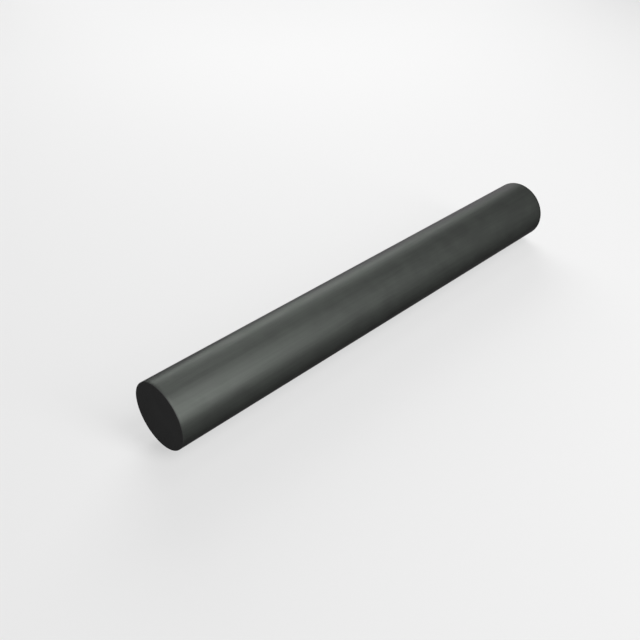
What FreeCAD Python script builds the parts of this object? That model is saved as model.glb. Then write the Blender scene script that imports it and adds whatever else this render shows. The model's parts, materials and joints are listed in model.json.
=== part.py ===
import FreeCAD, Part
import os
import Sketcher

# Hot-rolled round steel bar: one sawn-off piece, lying level on its side.
# Millimetres. +X runs along the bar and +Z is up. The origin is the middle of the
# bar's axis.

# Driving dimensions, each written once. The diameter is a standard rolled size. The
# length is a nominal 400 mm piece with the saw's cutting allowance. The edge break is
# the small bevel left where the burr is taken off a sawn end.
DRIVING_DIMENSIONS = {
    "bar_diameter": 50.0,
    "bar_length": 404.0,
    "edge_break": 0.3,
}


def make_size_sheet(doc):
    """Keeps the driving dimensions in a spreadsheet, one aliased cell each."""
    sheet = doc.addObject("Spreadsheet::Sheet", "Sizes")
    for row, (alias, value) in enumerate(DRIVING_DIMENSIONS.items(), start=1):
        sheet.set(f"A{row}", alias)
        sheet.set(f"B{row}", str(value))
        sheet.setAlias(f"B{row}", alias)
    doc.recompute()
    return sheet


def origin_plane(body, role):
    """One of the body's own origin planes, by its role."""
    return next(plane for plane in body.Origin.OriginFeatures if plane.Role == role)


def draw_rolled_section(body):
    """The section that the rolls leave: one full circle, centred on the bar's axis."""
    section = body.newObject("Sketcher::SketchObject", "RolledSection")
    section.AttachmentSupport = (origin_plane(body, "YZ_Plane"), [""])
    section.MapMode = "FlatFace"
    drawn = Part.Circle()
    drawn.Radius = DRIVING_DIMENSIONS["bar_diameter"] / 2
    circle = section.addGeometry(drawn, False)
    circle_centre, sketch_origin = (circle, 3), (-1, 1)
    section.addConstraint(
        Sketcher.Constraint("Coincident", *circle_centre, *sketch_origin)
    )
    diameter = section.addConstraint(
        Sketcher.Constraint("Diameter", circle, 2 * drawn.Radius)
    )
    section.renameConstraint(diameter, "bar_diameter")
    section.setExpression("Constraints.bar_diameter", "Sizes.bar_diameter")
    return section


def cut_to_length(body, section):
    """The straight bar between its two sawn ends, half of it each side of the origin."""
    bar = body.newObject("PartDesign::Pad", "CutLength")
    bar.Profile = section
    bar.SideType = "Symmetric"
    bar.setExpression("Length", "Sizes.bar_length")
    return bar


def break_sawn_edges(body, bar):
    """The burr taken off: the rim of each sawn end is bevelled at 45 degrees."""
    rims = [
        f"Edge{number}"
        for number, edge in enumerate(bar.Shape.Edges, start=1)
        if isinstance(edge.Curve, Part.Circle)
    ]
    bevel = body.newObject("PartDesign::Chamfer", "BrokenEdges")
    bevel.Base = (bar, rims)
    bevel.setExpression("Size", "Sizes.edge_break")
    return bevel


def make_round_bar(doc):
    """The whole bar, which is one solid piece."""
    body = doc.addObject("PartDesign::Body", "RoundBar")
    body.Label = "round_bar"
    section = draw_rolled_section(body)
    bar = cut_to_length(body, section)
    doc.recompute()
    break_sawn_edges(body, bar)
    doc.recompute()
    return body


def check_document(doc):
    """Stops if any object of the document failed to build."""
    for item in doc.Objects:
        if "Invalid" in item.State or "Error" in item.State:
            raise RuntimeError(f"{item.Label} did not build: {item.State}")


def write_piece(piece):
    """Writes one piece's solid to a file named for it."""
    shape = piece.Shape
    if shape.isNull() or not shape.isValid() or len(shape.Solids) != 1:
        raise RuntimeError(f"{piece.Label} is not one valid solid")
    shape.exportStep(os.path.join("parts", f"{piece.Label}.step"))
    box = shape.BoundBox
    print(
        f"{piece.Label}: {shape.Volume:.1f} mm3, "
        f"x {box.XMin:.2f} to {box.XMax:.2f}, "
        f"y {box.YMin:.2f} to {box.YMax:.2f}, "
        f"z {box.ZMin:.2f} to {box.ZMax:.2f}"
    )


def main():
    doc = FreeCAD.newDocument("RoundMetalBar")
    make_size_sheet(doc)
    round_bar = make_round_bar(doc)
    check_document(doc)
    os.makedirs("parts", exist_ok=True)
    write_piece(round_bar)


main()
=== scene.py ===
"""Dresses the hot-rolled round bar: its rolled surface, its sawn ends and a plain studio."""

import json
import math

import bmesh
import bpy
import numpy as np
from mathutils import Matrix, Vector
from mathutils import noise


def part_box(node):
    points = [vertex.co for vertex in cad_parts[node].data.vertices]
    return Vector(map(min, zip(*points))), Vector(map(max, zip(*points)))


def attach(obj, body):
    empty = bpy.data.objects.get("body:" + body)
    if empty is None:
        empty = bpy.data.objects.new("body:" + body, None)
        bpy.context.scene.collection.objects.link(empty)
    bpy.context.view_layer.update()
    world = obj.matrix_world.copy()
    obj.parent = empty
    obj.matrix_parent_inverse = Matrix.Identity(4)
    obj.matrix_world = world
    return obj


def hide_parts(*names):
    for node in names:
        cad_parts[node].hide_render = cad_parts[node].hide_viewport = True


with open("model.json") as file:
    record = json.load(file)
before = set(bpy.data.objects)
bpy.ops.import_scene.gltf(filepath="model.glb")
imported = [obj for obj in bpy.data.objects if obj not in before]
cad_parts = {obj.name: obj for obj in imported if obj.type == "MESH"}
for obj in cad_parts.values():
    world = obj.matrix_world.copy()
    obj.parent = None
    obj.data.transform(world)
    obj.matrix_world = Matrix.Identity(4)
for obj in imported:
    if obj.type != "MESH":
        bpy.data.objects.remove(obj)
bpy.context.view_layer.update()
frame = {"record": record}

bl_info = {
    "name": "Hot-Rolled Round Bar",
    "version": (1, 0, 0),
    "blender": (4, 5, 0),
    "location": "3D View > Sidebar > Round Bar",
    "description": "Makes a hot-rolled round steel bar and the studio that shows it",
    "category": "Object",
}

MM = 0.001

# The bar's own sizes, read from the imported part.
BAR_NODE = "round_bar"
LOW_CORNER, HIGH_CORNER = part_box(BAR_NODE)
ROLLED_SIDE = next(m for m in frame["record"]["mounts"] if m["name"] == "round_side")
BAR_RADIUS = ROLLED_SIDE["dims"]["r_mm"] * MM
BAR_LENGTH = HIGH_CORNER.x - LOW_CORNER.x
EDGE_BREAK = (BAR_LENGTH - ROLLED_SIDE["dims"]["length_mm"] * MM) / 2
FLOOR_HEIGHT = -BAR_RADIUS

# The photo's frame, and where the middle of the bar falls in it.
IMAGE_PX = 640
FOCAL_PX = 829.0
BAR_MIDDLE_PX = (370.35, 294.04)
SENSOR_MM = 36.0

# The softboxes. Azimuth 0 is the bar's front, and 90 degrees its +X end.
SOFTBOX_DISTANCE = 1.3
FRONT_AZIMUTH, FRONT_ELEVATION = math.radians(10), math.radians(16)
FRONT_WIDTH, FRONT_HEIGHT = 0.42, 0.65
TOP_AZIMUTH, TOP_ELEVATION = math.radians(12), math.radians(53)
TOP_WIDTH, TOP_HEIGHT = 0.42, 1.2
HIGH_AZIMUTH, HIGH_ELEVATION = math.radians(135), math.radians(68)
HIGH_WIDTH, HIGH_HEIGHT = 0.4, 0.4
BACK_AZIMUTH, BACK_ELEVATION = math.radians(141), math.radians(17)
BACK_WIDTH, BACK_HEIGHT = 1.2, 0.8
# The back softbox has a grid, which keeps its light off the floor close to it.
OPEN_SPREAD, GRID_SPREAD = math.radians(180), math.radians(96)

# The bar's materials, in the order that its mesh takes them.
ROLLED_MATERIAL, SAWN_MATERIAL = 0, 1

# The sockets of a colour Mix node, which share their names with its other modes.
MIX_FIRST, MIX_SECOND, MIX_RESULT = 6, 7, 2


def linear_colour(hex_colour):
    """An sRGB colour such as #50534F as Blender's linear colour with alpha."""
    channels = [int(hex_colour[at : at + 2], 16) / 255 for at in (1, 3, 5)]
    linear = [
        value / 12.92 if value <= 0.04045 else ((value + 0.055) / 1.055) ** 2.4
        for value in channels
    ]
    return (*linear, 1.0)


class RoundBarSettings(bpy.types.PropertyGroup):
    """Sizes and colours of the rolled side and the sawn ends."""

    dark_scale: bpy.props.FloatVectorProperty(
        name="Dark Scale",
        description="Colour of the rolled side where its mill scale is thick",
        subtype="COLOR",
        size=4,
        default=linear_colour("#3C3E3C"),
        min=0.0,
        max=1.0,
    )
    light_scale: bpy.props.FloatVectorProperty(
        name="Light Scale",
        description="Colour of the rolled side where its mill scale is thin",
        subtype="COLOR",
        size=4,
        default=linear_colour("#404340"),
        min=0.0,
        max=1.0,
    )
    dark_end: bpy.props.FloatVectorProperty(
        name="Dark End",
        description="Darkest colour of the sawn ends",
        subtype="COLOR",
        size=4,
        default=linear_colour("#3B3B3B"),
        min=0.0,
        max=1.0,
    )
    light_end: bpy.props.FloatVectorProperty(
        name="Light End",
        description="Lightest colour of the sawn ends",
        subtype="COLOR",
        size=4,
        default=linear_colour("#3E3E3E"),
        min=0.0,
        max=1.0,
    )
    facets_around: bpy.props.IntProperty(
        name="Facets Around",
        description="Faces round the bar, a multiple of four",
        default=360,
        min=24,
    )
    facets_along: bpy.props.IntProperty(
        name="Facets Along",
        description="Faces along the rolled side",
        default=202,
        min=8,
    )
    facets_across_end: bpy.props.IntProperty(
        name="Facets Across End",
        description="Faces across each sawn end, along the blade's travel",
        default=24,
        min=4,
    )
    roll_relief: bpy.props.FloatProperty(
        name="Roll Relief",
        description="Depth of the shallow unevenness that the rolls leave",
        default=0.02 * MM,
        unit="LENGTH",
        precision=6,
    )
    roll_wave_around: bpy.props.FloatProperty(
        name="Roll Wave Around",
        description="Distance round the bar from one shallow hollow to the next",
        default=5.0 * MM,
        unit="LENGTH",
    )
    roll_wave_along: bpy.props.FloatProperty(
        name="Roll Wave Along",
        description="Distance along the bar from one shallow hollow to the next",
        default=24.0 * MM,
        unit="LENGTH",
    )
    saw_mark_depth: bpy.props.FloatProperty(
        name="Saw Mark Depth",
        description="Depth of the marks that the saw's teeth leave on an end",
        default=0.04 * MM,
        unit="LENGTH",
        precision=6,
    )
    saw_mark_pitch: bpy.props.FloatProperty(
        name="Saw Mark Pitch",
        description="Distance from one saw mark to the next",
        default=1.7 * MM,
        unit="LENGTH",
    )
    saw_blade_radius: bpy.props.FloatProperty(
        name="Saw Blade Radius",
        description="Radius of the round blade, which curves its marks",
        default=0.4,
        unit="LENGTH",
    )


class StudioSettings(bpy.types.PropertyGroup):
    """Colours, light and the camera's place."""

    view_azimuth: bpy.props.FloatProperty(
        name="View Azimuth",
        description="Side that the camera looks from, counted from the bar's front",
        default=math.radians(-45.1),
        subtype="ANGLE",
    )
    view_elevation: bpy.props.FloatProperty(
        name="View Elevation",
        description="Height of the camera above the horizon",
        default=math.radians(35.08),
        subtype="ANGLE",
    )
    view_depth: bpy.props.FloatProperty(
        name="View Depth",
        description="Distance from the camera to the middle of the bar, along the view",
        default=0.648,
        unit="LENGTH",
    )
    floor_radius: bpy.props.FloatProperty(
        name="Floor Radius",
        description="Radius of the round floor",
        default=12.0,
        unit="LENGTH",
    )
    floor_colour: bpy.props.FloatVectorProperty(
        name="Floor Colour",
        description="Colour of the floor's paper under the lamps alone",
        subtype="COLOR",
        size=4,
        default=linear_colour("#898989"),
        min=0.0,
        max=1.0,
    )
    floor_glow: bpy.props.FloatProperty(
        name="Floor Glow",
        description="How much whiter the floor looks than the lamps alone make it",
        default=0.58,
        min=0.0,
        max=1.0,
    )
    wall_level: bpy.props.FloatProperty(
        name="Wall Level",
        description="How white the walls look, where 1 is white",
        default=0.9,
        min=0.0,
        max=1.0,
    )
    fill_strength: bpy.props.FloatProperty(
        name="Fill Strength",
        description="Strength of the even light that the walls throw on the object",
        default=0.1,
        min=0.0,
    )
    front_power: bpy.props.FloatProperty(
        name="Front Power",
        description="Power of the low softbox in front of the bar",
        default=7.2,
        unit="POWER",
        min=0.0,
    )
    top_power: bpy.props.FloatProperty(
        name="Top Power",
        description="Power of the long softbox that reaches up over the bar",
        default=11.3,
        unit="POWER",
        min=0.0,
    )
    high_power: bpy.props.FloatProperty(
        name="High Power",
        description="Power of the small softbox high above the bar",
        default=1.6,
        unit="POWER",
        min=0.0,
    )
    back_power: bpy.props.FloatProperty(
        name="Back Power",
        description="Power of the wide softbox behind the bar's far end",
        default=9.3,
        unit="POWER",
        min=0.0,
    )


def add_node(tree, kind, inputs=None, **settings):
    """Adds a node, with its own settings, and with each input set or linked."""
    node = tree.nodes.new(kind)
    for name, value in settings.items():
        setattr(node, name, value)
    for socket, value in (inputs or {}).items():
        if isinstance(value, bpy.types.NodeSocket):
            tree.links.new(value, node.inputs[socket])
        else:
            node.inputs[socket].default_value = value
    return node


def new_material(name):
    """An empty material, and the node tree to build it in."""
    material = bpy.data.materials.new(name)
    material.use_nodes = True
    material.node_tree.nodes.clear()
    return material, material.node_tree


def end_material(tree, shader):
    """Links the last shader to the material's surface."""
    output = add_node(tree, "ShaderNodeOutputMaterial")
    tree.links.new(shader.outputs[0], output.inputs["Surface"])


def make_mill_scale(settings):
    """Hot-rolled mild steel, cooled in air, with its mill scale left on.

    The scale is a thin hard oxide. To the eye it is a dark, slightly green grey with a
    satin sheen, even from afar, with faint patches where it is thicker, faint streaks
    along the rolling and a fine grain that breaks up the edge of each highlight. At a
    glancing angle its sheen brightens far less than bare steel's, and loses its green.
    """
    # At #959195 a thin broken line shows just inside the bar's outline.
    glancing_sheen = linear_colour("#9E9B9E")
    patch_size, streak_width, streak_length = 14 * MM, 1.6 * MM, 40 * MM
    # The real grain is about 0.2 mm. It is drawn coarser, so that the render shows it.
    grain_size, grain_depth = 1.3 * MM, 0.006 * MM
    smoothest, roughest = 0.42, 0.50

    material, tree = new_material("hot_rolled_steel_mill_scale")
    place = add_node(tree, "ShaderNodeTexCoord").outputs["Object"]
    patches = add_node(
        tree,
        "ShaderNodeTexNoise",
        {"Vector": place, "Scale": 1 / patch_size, "Detail": 3.0, "Roughness": 0.55},
    )
    drawn_out = add_node(
        tree,
        "ShaderNodeMapping",
        {"Vector": place, "Scale": (streak_width / streak_length, 1.0, 1.0)},
    )
    streaks = add_node(
        tree,
        "ShaderNodeTexNoise",
        {"Vector": drawn_out.outputs["Vector"], "Scale": 1 / streak_width, "Detail": 2.0},
    )
    grain = add_node(
        tree,
        "ShaderNodeTexNoise",
        {"Vector": place, "Scale": 1 / grain_size, "Detail": 2.0, "Roughness": 0.6},
    )
    blend = add_node(
        tree,
        "ShaderNodeMath",
        {0: patches.outputs["Fac"], 1: streaks.outputs["Fac"]},
        operation="ADD",
    )
    thickness = add_node(
        tree,
        "ShaderNodeMapRange",
        {"Value": blend.outputs["Value"], "From Min": 0.7, "From Max": 1.3},
    )
    colour = add_node(
        tree,
        "ShaderNodeMix",
        {
            "Factor": thickness.outputs["Result"],
            MIX_FIRST: settings.dark_scale,
            MIX_SECOND: settings.light_scale,
        },
        data_type="RGBA",
    )
    sheen = add_node(
        tree,
        "ShaderNodeMapRange",
        {
            "Value": patches.outputs["Fac"],
            "From Min": 0.3,
            "From Max": 0.7,
            "To Min": smoothest,
            "To Max": roughest,
        },
    )
    relief = add_node(
        tree,
        "ShaderNodeBump",
        {"Height": grain.outputs["Fac"], "Strength": 1.0, "Distance": grain_depth},
    )
    steel = add_node(
        tree,
        "ShaderNodeBsdfPrincipled",
        {
            "Base Color": colour.outputs[MIX_RESULT],
            "Metallic": 1.0,
            "Roughness": sheen.outputs["Result"],
            "Specular Tint": glancing_sheen,
            "Normal": relief.outputs["Normal"],
        },
    )
    end_material(tree, steel)
    return material


def make_sawn_end(settings):
    """Mild steel cut by a round saw while hot, and scaled over like the side.

    The teeth leave the face rough, so that it scatters light with hardly a highlight. To
    the eye it is flat and nearly black, with faint curved lines.
    """
    glancing_sheen, roughness = 0.2, 0.6
    patch_size, grain_size = 9 * MM, 0.8 * MM
    grain_depth = 0.02 * MM

    material, tree = new_material("hot_sawn_steel_end")
    place = add_node(tree, "ShaderNodeTexCoord").outputs["Object"]
    patches = add_node(
        tree,
        "ShaderNodeTexNoise",
        {"Vector": place, "Scale": 1 / patch_size, "Detail": 4.0, "Roughness": 0.6},
    )
    grain = add_node(
        tree,
        "ShaderNodeTexNoise",
        {"Vector": place, "Scale": 1 / grain_size, "Detail": 2.0},
    )
    thickness = add_node(
        tree,
        "ShaderNodeMapRange",
        {"Value": patches.outputs["Fac"], "From Min": 0.3, "From Max": 0.7},
    )
    colour = add_node(
        tree,
        "ShaderNodeMix",
        {
            "Factor": thickness.outputs["Result"],
            MIX_FIRST: settings.dark_end,
            MIX_SECOND: settings.light_end,
        },
        data_type="RGBA",
    )
    relief = add_node(
        tree,
        "ShaderNodeBump",
        {"Height": grain.outputs["Fac"], "Strength": 1.0, "Distance": grain_depth},
    )
    steel = add_node(
        tree,
        "ShaderNodeBsdfPrincipled",
        {
            "Base Color": colour.outputs[MIX_RESULT],
            "Metallic": 1.0,
            "Roughness": roughness,
            "Specular Tint": (glancing_sheen, glancing_sheen, glancing_sheen, 1.0),
            "Normal": relief.outputs["Normal"],
        },
    )
    end_material(tree, steel)
    return material


def roll_hollow(x, y, z, settings):
    """How far the rolled side lies below its full radius at one point, in metres."""
    along, around = settings.roll_wave_along, settings.roll_wave_around
    fine_wave = around / 2
    coarse = noise.noise(Vector((x / along, y / around, z / around)))
    fine = noise.noise(Vector((x / fine_wave, y / fine_wave, z / fine_wave)))
    share = 0.5 + 0.4 * coarse + 0.2 * fine
    return settings.roll_relief * min(max(share, 0.0), 1.0)


def saw_hollow(y, z, settings, end):
    """How far a sawn face lies below its outermost plane at one point, in metres."""
    wander_size, strength_size = 12 * MM, 7 * MM
    # Each pattern and each end has its own slice of the noise.
    wander_slice, strength_slice = 5.0 * end, 9.0 * end

    # The blade comes up from below, a little to one side.
    centre_y, centre_z = 0.3 * end * settings.saw_blade_radius, -settings.saw_blade_radius
    reach = math.hypot(y - centre_y, z - centre_z)
    wander = noise.noise(Vector((y / wander_size, z / wander_size, wander_slice)))
    mark = reach / settings.saw_mark_pitch + 0.6 * wander
    wave = 0.5 + 0.5 * math.sin(2 * math.pi * mark)
    patch = noise.noise(Vector((y / strength_size, z / strength_size, strength_slice)))
    return settings.saw_mark_depth * wave * (0.6 + 0.4 * patch)


def ring_turns(settings):
    """The angle of each point round a ring."""
    return np.arange(settings.facets_around) * 2 * math.pi / settings.facets_around


def rolled_rings(settings):
    """Points of the rolled side, ring by ring from the -X end to the +X end."""
    half = BAR_LENGTH / 2 - EDGE_BREAK
    rings = []
    for x in np.linspace(-half, half, settings.facets_along + 1):
        ring = []
        for turn in ring_turns(settings):
            y, z = BAR_RADIUS * math.cos(turn), BAR_RADIUS * math.sin(turn)
            radius = BAR_RADIUS - roll_hollow(x, y, z, settings)
            ring.append((x, radius * math.cos(turn), radius * math.sin(turn)))
        rings.append(ring)
    return rings


def bevel_ring(settings, end, share):
    """One ring of the rounded edge break: share 0 is at the side and 1 at the sawn face."""
    corner = share * math.pi / 2
    x = end * (BAR_LENGTH / 2 - EDGE_BREAK * (1 - math.sin(corner)))
    radius = BAR_RADIUS - settings.roll_relief / 2 - EDGE_BREAK * (1 - math.cos(corner))
    return [(x, radius * math.cos(t), radius * math.sin(t)) for t in ring_turns(settings)]


def side_faces(around, ring_count, bevel_count):
    """Faces from ring to ring, and their materials. The edge breaks count as sawn."""
    faces, materials = [], []
    last = ring_count - 1
    for ring in range(last):
        is_bevel = ring < bevel_count or ring >= last - bevel_count
        low, high = ring * around, (ring + 1) * around
        for step in range(around):
            after = (step + 1) % around
            faces.append((low + step, high + step, high + after, low + after))
            materials.append(SAWN_MATERIAL if is_bevel else ROLLED_MATERIAL)
    return faces, materials


def sawn_face(settings, end, rim, first):
    """The points inside one sawn face, and its faces.

    The face is made of level rows, each from one rim point to the other. rim is the
    number of its rim's first point, and first the number of its own first point.
    """
    around = settings.facets_around
    across = settings.facets_across_end
    face_radius = BAR_RADIUS - settings.roll_relief / 2 - EDGE_BREAK

    points, rows = [], []
    for row in range(around // 2 + 1):
        right = (row - around // 4) % around
        left = (around // 2 - (row - around // 4)) % around
        if right == left:
            rows.append([rim + right] * (across + 1))
            continue
        angle = 2 * math.pi * (row - around // 4) / around
        z, reach = face_radius * math.sin(angle), face_radius * math.cos(angle)
        line = [rim + left]
        for column in range(1, across):
            y = reach * (2 * column / across - 1)
            x = end * (BAR_LENGTH / 2 - saw_hollow(y, z, settings, end))
            line.append(first + len(points))
            points.append((x, y, z))
        line.append(rim + right)
        rows.append(line)

    faces = []
    for low, high in zip(rows, rows[1:]):
        for column in range(across):
            corners = (low[column], low[column + 1], high[column + 1], high[column])
            loop = list(dict.fromkeys(corners))
            faces.append(tuple(loop if end > 0 else reversed(loop)))
    return points, faces


def build_bar_mesh(settings):
    """The whole bar as one closed mesh."""
    crease_angle = math.radians(30)

    near_rings = [bevel_ring(settings, -1, share) for share in (1.0, 0.5)]
    far_rings = [bevel_ring(settings, 1, share) for share in (0.5, 1.0)]
    rings = near_rings + rolled_rings(settings) + far_rings
    points = [point for ring in rings for point in ring]
    last_rim = len(points) - settings.facets_around
    faces, materials = side_faces(settings.facets_around, len(rings), len(near_rings))
    for end, rim in ((-1, 0), (1, last_rim)):
        end_points, end_faces = sawn_face(settings, end, rim, len(points))
        points += end_points
        faces += end_faces
        materials += [SAWN_MATERIAL] * len(end_faces)

    mesh = bpy.data.meshes.new("dressed_round_bar")
    mesh.from_pydata(points, [], faces)
    mesh.polygons.foreach_set("material_index", materials)
    mesh.polygons.foreach_set("use_smooth", [True] * len(faces))
    mesh.set_sharp_from_angle(angle=crease_angle)
    mesh.validate()
    mesh.update()
    return mesh


class OBJECT_OT_make_round_bar(bpy.types.Operator):
    """Make the rolled bar with its sawn ends, in place of the plain solid"""

    bl_idname = "object.make_round_bar"
    bl_label = "Make Round Bar"

    def execute(self, context):
        settings = context.scene.round_bar
        mesh = build_bar_mesh(settings)
        mesh.materials.append(make_mill_scale(settings))
        mesh.materials.append(make_sawn_end(settings))
        bar = bpy.data.objects.new("rolled_round_bar", mesh)
        context.collection.objects.link(bar)
        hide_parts(BAR_NODE)
        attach(bar, "root")
        return {"FINISHED"}


def seen_rays(tree):
    """1 for the rays that show the floor and walls, and 0 for those that only light."""
    path = add_node(tree, "ShaderNodeLightPath")
    direct = add_node(
        tree,
        "ShaderNodeMath",
        {0: path.outputs["Is Camera Ray"], 1: path.outputs["Is Glossy Ray"]},
        operation="MAXIMUM",
    )
    seen = add_node(
        tree,
        "ShaderNodeMath",
        {0: direct.outputs["Value"], 1: path.outputs["Is Transmission Ray"]},
        operation="MAXIMUM",
    )
    return seen.outputs["Value"]


def make_floor(settings):
    """A wide round floor of plain matt paper, which goes out past every view.

    The lamps light it at a plain level. A glow that only the seen rays meet makes it pale
    without more light on the object, and the object's shadow stays. Further out, where the
    lamps don't reach, the glow rises to the level of the walls.
    """
    lit_radius, far_radius = 1.3, 3.0
    rim_points = 96

    material, tree = new_material("matt_studio_paper")
    paper = add_node(tree, "ShaderNodeBsdfDiffuse", {"Color": settings.floor_colour})
    place = add_node(tree, "ShaderNodeTexCoord").outputs["Object"]
    reach = add_node(tree, "ShaderNodeVectorMath", {0: place}, operation="LENGTH")
    level = add_node(
        tree,
        "ShaderNodeMapRange",
        {
            "Value": reach.outputs["Value"],
            "From Min": lit_radius,
            "From Max": far_radius,
            "To Min": settings.floor_glow,
            "To Max": settings.wall_level,
        },
        interpolation_type="SMOOTHSTEP",
    )
    strength = add_node(
        tree,
        "ShaderNodeMath",
        {0: seen_rays(tree), 1: level.outputs["Result"]},
        operation="MULTIPLY",
    )
    glow = add_node(tree, "ShaderNodeEmission", {"Strength": strength.outputs["Value"]})
    surface = add_node(tree, "ShaderNodeAddShader", {0: paper.outputs[0], 1: glow.outputs[0]})
    end_material(tree, surface)
    material.cycles.emission_sampling = "NONE"

    shape = bmesh.new()
    bmesh.ops.create_circle(
        shape, cap_ends=True, segments=rim_points, radius=settings.floor_radius
    )
    mesh = bpy.data.meshes.new("studio_floor")
    shape.to_mesh(mesh)
    shape.free()
    mesh.materials.append(material)
    floor = bpy.data.objects.new("studio_floor", mesh)
    floor.location.z = FLOOR_HEIGHT
    bpy.context.collection.objects.link(floor)


def direction(azimuth, elevation):
    """The way from the middle of the bar to a thing at this azimuth and elevation."""
    return Vector(
        (
            math.sin(azimuth) * math.cos(elevation),
            -math.cos(azimuth) * math.cos(elevation),
            math.sin(elevation),
        )
    )


def make_softbox(name, azimuth, elevation, width, height, power, spread=OPEN_SPREAD):
    """An area lamp of this width and height that faces the middle of the bar."""
    lamp = bpy.data.lights.new(name, "AREA")
    lamp.shape = "RECTANGLE"
    lamp.size = width
    lamp.size_y = height
    lamp.spread = spread
    lamp.energy = power
    softbox = bpy.data.objects.new(name, lamp)
    place = SOFTBOX_DISTANCE * direction(azimuth, elevation)
    softbox.location = place
    softbox.rotation_euler = place.to_track_quat("Z", "Y").to_euler()
    bpy.context.collection.objects.link(softbox)


def make_lamps(settings):
    """Four softboxes.

    Two reach from low in front to over the bar. A small one is high up, and a wide one
    stands low behind the far end.
    """
    make_softbox(
        "front_softbox",
        FRONT_AZIMUTH,
        FRONT_ELEVATION,
        FRONT_WIDTH,
        FRONT_HEIGHT,
        settings.front_power,
    )
    make_softbox(
        "top_softbox",
        TOP_AZIMUTH,
        TOP_ELEVATION,
        TOP_WIDTH,
        TOP_HEIGHT,
        settings.top_power,
    )
    make_softbox(
        "high_softbox",
        HIGH_AZIMUTH,
        HIGH_ELEVATION,
        HIGH_WIDTH,
        HIGH_HEIGHT,
        settings.high_power,
    )
    make_softbox(
        "back_softbox",
        BACK_AZIMUTH,
        BACK_ELEVATION,
        BACK_WIDTH,
        BACK_HEIGHT,
        settings.back_power,
        GRID_SPREAD,
    )


def make_walls(settings):
    """Pale studio walls all round, which look as pale as the floor and throw little light."""
    world = bpy.data.worlds.new("studio_walls")
    world.use_nodes = True
    tree = world.node_tree
    tree.nodes.clear()
    level = add_node(
        tree,
        "ShaderNodeMapRange",
        {
            "Value": seen_rays(tree),
            "To Min": settings.fill_strength,
            "To Max": settings.wall_level,
        },
    )
    background = add_node(
        tree,
        "ShaderNodeBackground",
        {"Color": linear_colour("#FFFFFF"), "Strength": level.outputs["Result"]},
    )
    output = add_node(tree, "ShaderNodeOutputWorld")
    tree.links.new(background.outputs["Background"], output.inputs["Surface"])
    world.cycles.sampling_method = "NONE"
    bpy.context.scene.world = world


def make_camera(settings):
    """The photo's view: the bar's middle falls on its own pixel, with no lens shift."""
    back = direction(settings.view_azimuth, settings.view_elevation)
    turn = back.to_track_quat("Z", "Y")
    metres_per_px = settings.view_depth / FOCAL_PX
    across = (BAR_MIDDLE_PX[0] - IMAGE_PX / 2) * metres_per_px
    down = (BAR_MIDDLE_PX[1] - IMAGE_PX / 2) * metres_per_px
    lens = bpy.data.cameras.new("photo_view")
    lens.sensor_width = SENSOR_MM
    lens.lens = SENSOR_MM * FOCAL_PX / IMAGE_PX
    camera = bpy.data.objects.new("photo_view", lens)
    camera.rotation_euler = turn.to_euler()
    camera.location = turn @ Vector((-across, down, settings.view_depth))
    bpy.context.collection.objects.link(camera)
    bpy.context.scene.camera = camera


class SCENE_OT_set_bar_studio(bpy.types.Operator):
    """Set the floor, the lamps, the fill light and the camera round the bar"""

    bl_idname = "scene.set_bar_studio"
    bl_label = "Set Bar Studio"

    def execute(self, context):
        settings = context.scene.bar_studio
        context.scene.view_settings.view_transform = "Standard"
        make_floor(settings)
        make_lamps(settings)
        make_walls(settings)
        make_camera(settings)
        return {"FINISHED"}


class VIEW3D_PT_round_bar(bpy.types.Panel):
    """Lists the bar's and the studio's settings, with the operators that use them"""

    bl_label = "Round Bar"
    bl_idname = "VIEW3D_PT_round_bar"
    bl_space_type = "VIEW_3D"
    bl_region_type = "UI"
    bl_category = "Round Bar"

    def draw(self, context):
        for settings, operator in (
            (context.scene.round_bar, OBJECT_OT_make_round_bar),
            (context.scene.bar_studio, SCENE_OT_set_bar_studio),
        ):
            column = self.layout.column(align=True)
            for name in settings.__annotations__:
                column.prop(settings, name)
            column.operator(operator.bl_idname)


CLASSES = (
    RoundBarSettings,
    StudioSettings,
    OBJECT_OT_make_round_bar,
    SCENE_OT_set_bar_studio,
    VIEW3D_PT_round_bar,
)


def register():
    for cls in CLASSES:
        bpy.utils.register_class(cls)
    bpy.types.Scene.round_bar = bpy.props.PointerProperty(type=RoundBarSettings)
    bpy.types.Scene.bar_studio = bpy.props.PointerProperty(type=StudioSettings)


def unregister():
    del bpy.types.Scene.bar_studio
    del bpy.types.Scene.round_bar
    for cls in reversed(CLASSES):
        bpy.utils.unregister_class(cls)


def main():
    register()
    bpy.ops.scene.set_bar_studio()
    bpy.ops.object.make_round_bar()


if __name__ == "__main__":
    main()
